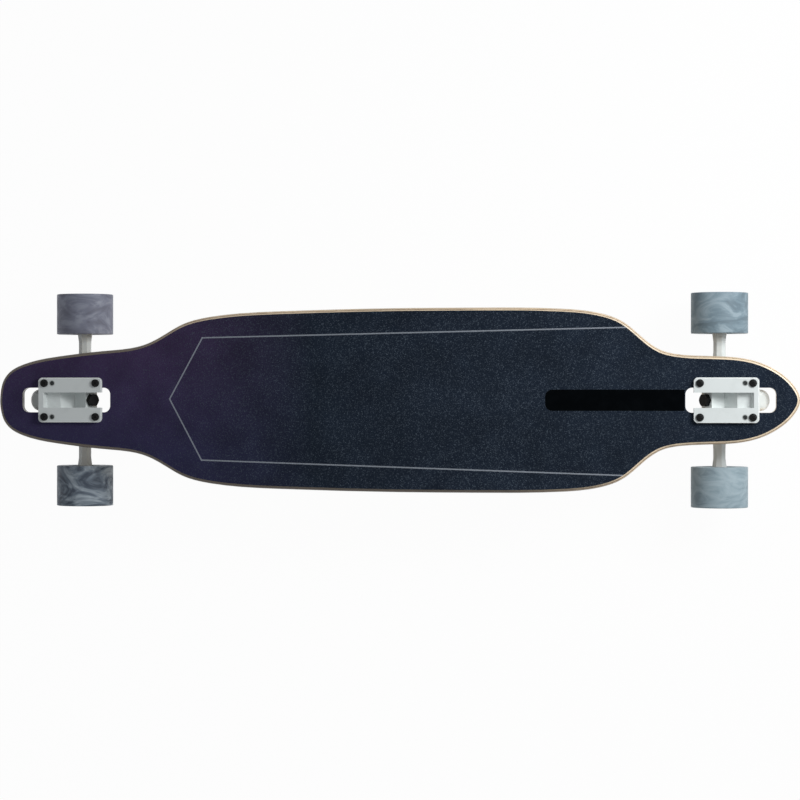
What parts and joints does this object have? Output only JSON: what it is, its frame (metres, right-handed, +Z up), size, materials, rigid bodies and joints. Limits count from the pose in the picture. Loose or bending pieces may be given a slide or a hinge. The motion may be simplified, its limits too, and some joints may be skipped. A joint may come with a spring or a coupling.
{
  "type": "longboard skateboard",
  "caption": "Drop-through longboard: gripped laminate deck on cast reverse-kingpin trucks with sprung steering and free-rolling urethane wheels.",
  "frame": {"origin": "on the ground under the middle of the board, with all wheels down", "axes": "+X along the board towards the pointed nose, +Y to the rider's left facing the nose, +Z up"},
  "size_m": [0.978, 0.264, 0.1095],
  "materials": {
    "maple": "clear-coated maple laminate",
    "grip": "gritted black sheet",
    "black_strip": "smooth black",
    "black_steel": "black oxide",
    "white_casting": "white paint on cast aluminium",
    "steel": "bright steel",
    "bushing_urethane": "cast urethane",
    "wheel_urethane": "marbled cast urethane",
    "core_plastic": "moulded plastic"
  },
  "bodies": {
    "board": {"deck": "maple", "grip_sheet": "grip", "smooth_strip": "black_strip", "truck_bolts": "black_steel", "truck_bolt_nuts": "black_steel", "front_baseplate": "white_casting", "front_pivot_cup": "bushing_urethane", "front_kingpin": "black_steel", "front_kingpin_nut": "black_steel", "front_boardside_washer": "steel", "front_roadside_washer": "steel", "front_boardside_bushing": "bushing_urethane", "front_roadside_bushing": "bushing_urethane", "rear_baseplate": "white_casting", "rear_pivot_cup": "bushing_urethane", "rear_kingpin": "black_steel", "rear_kingpin_nut": "black_steel", "rear_boardside_washer": "steel", "rear_roadside_washer": "steel", "rear_boardside_bushing": "bushing_urethane", "rear_roadside_bushing": "bushing_urethane"},
    "front_truck": {"front_hanger": "white_casting", "front_axle": "steel", "front_axle_nuts": "steel", "front_speed_washers": "steel", "front_bearing_inner_rings": "steel", "front_bearing_spacers": "steel"},
    "front_left_wheel": {"front_left_tyre": "wheel_urethane", "front_left_core": "core_plastic", "front_left_bearing_outer_rings": "steel", "front_left_bearing_shields": "steel"},
    "front_left_cages": {"front_left_bearing_cages": "steel", "front_left_bearing_balls": "steel"},
    "front_right_wheel": {"front_right_tyre": "wheel_urethane", "front_right_core": "core_plastic", "front_right_bearing_outer_rings": "steel", "front_right_bearing_shields": "steel"},
    "front_right_cages": {"front_right_bearing_cages": "steel", "front_right_bearing_balls": "steel"},
    "rear_truck": {"rear_hanger": "white_casting", "rear_axle": "steel", "rear_axle_nuts": "steel", "rear_speed_washers": "steel", "rear_bearing_inner_rings": "steel", "rear_bearing_spacers": "steel"},
    "rear_left_wheel": {"rear_left_tyre": "wheel_urethane", "rear_left_core": "core_plastic", "rear_left_bearing_outer_rings": "steel", "rear_left_bearing_shields": "steel"},
    "rear_left_cages": {"rear_left_bearing_cages": "steel", "rear_left_bearing_balls": "steel"},
    "rear_right_wheel": {"rear_right_tyre": "wheel_urethane", "rear_right_core": "core_plastic", "rear_right_bearing_outer_rings": "steel", "rear_right_bearing_shields": "steel"},
    "rear_right_cages": {"rear_right_bearing_cages": "steel", "rear_right_bearing_balls": "steel"}
  },
  "joints": [
    {"name": "front_steer", "type": "hinge", "parent": "board", "child": "front_truck", "pos_m": [0.4147, 0, 0.05489], "axis": [0.6428, 0, 0.766], "range_deg": [-20, 20], "stiffness_Nm_per_rad": 60, "deforming": ["front_boardside_bushing", "front_roadside_bushing"]},
    {"name": "front_left_wheel_spin", "type": "hinge", "parent": "front_truck", "child": "front_left_wheel", "pos_m": [0.395, 0.107, 0.035], "axis": [0, 1, 0], "continuous": true},
    {"name": "front_left_cage_spin", "type": "hinge", "parent": "front_truck", "child": "front_left_cages", "pos_m": [0.395, 0.107, 0.035], "axis": [0, 1, 0], "continuous": true},
    {"name": "front_right_wheel_spin", "type": "hinge", "parent": "front_truck", "child": "front_right_wheel", "pos_m": [0.395, -0.107, 0.035], "axis": [0, 1, 0], "continuous": true},
    {"name": "front_right_cage_spin", "type": "hinge", "parent": "front_truck", "child": "front_right_cages", "pos_m": [0.395, -0.107, 0.035], "axis": [0, 1, 0], "continuous": true},
    {"name": "rear_steer", "type": "hinge", "parent": "board", "child": "rear_truck", "pos_m": [-0.4147, 0, 0.05489], "axis": [-0.6428, 0, 0.766], "range_deg": [-20, 20], "stiffness_Nm_per_rad": 60, "deforming": ["rear_boardside_bushing", "rear_roadside_bushing"]},
    {"name": "rear_left_wheel_spin", "type": "hinge", "parent": "rear_truck", "child": "rear_left_wheel", "pos_m": [-0.395, 0.107, 0.035], "axis": [0, 1, 0], "continuous": true},
    {"name": "rear_left_cage_spin", "type": "hinge", "parent": "rear_truck", "child": "rear_left_cages", "pos_m": [-0.395, 0.107, 0.035], "axis": [0, 1, 0], "continuous": true},
    {"name": "rear_right_wheel_spin", "type": "hinge", "parent": "rear_truck", "child": "rear_right_wheel", "pos_m": [-0.395, -0.107, 0.035], "axis": [0, 1, 0], "continuous": true},
    {"name": "rear_right_cage_spin", "type": "hinge", "parent": "rear_truck", "child": "rear_right_cages", "pos_m": [-0.395, -0.107, 0.035], "axis": [0, 1, 0], "continuous": true}
  ],
  "couplings": [
    {"joint": "front_left_cage_spin", "follows": "front_left_wheel_spin", "ratio": 0.6306},
    {"joint": "front_right_cage_spin", "follows": "front_right_wheel_spin", "ratio": 0.6306},
    {"joint": "rear_left_cage_spin", "follows": "rear_left_wheel_spin", "ratio": 0.6306},
    {"joint": "rear_right_cage_spin", "follows": "rear_right_wheel_spin", "ratio": 0.6306}
  ]
}
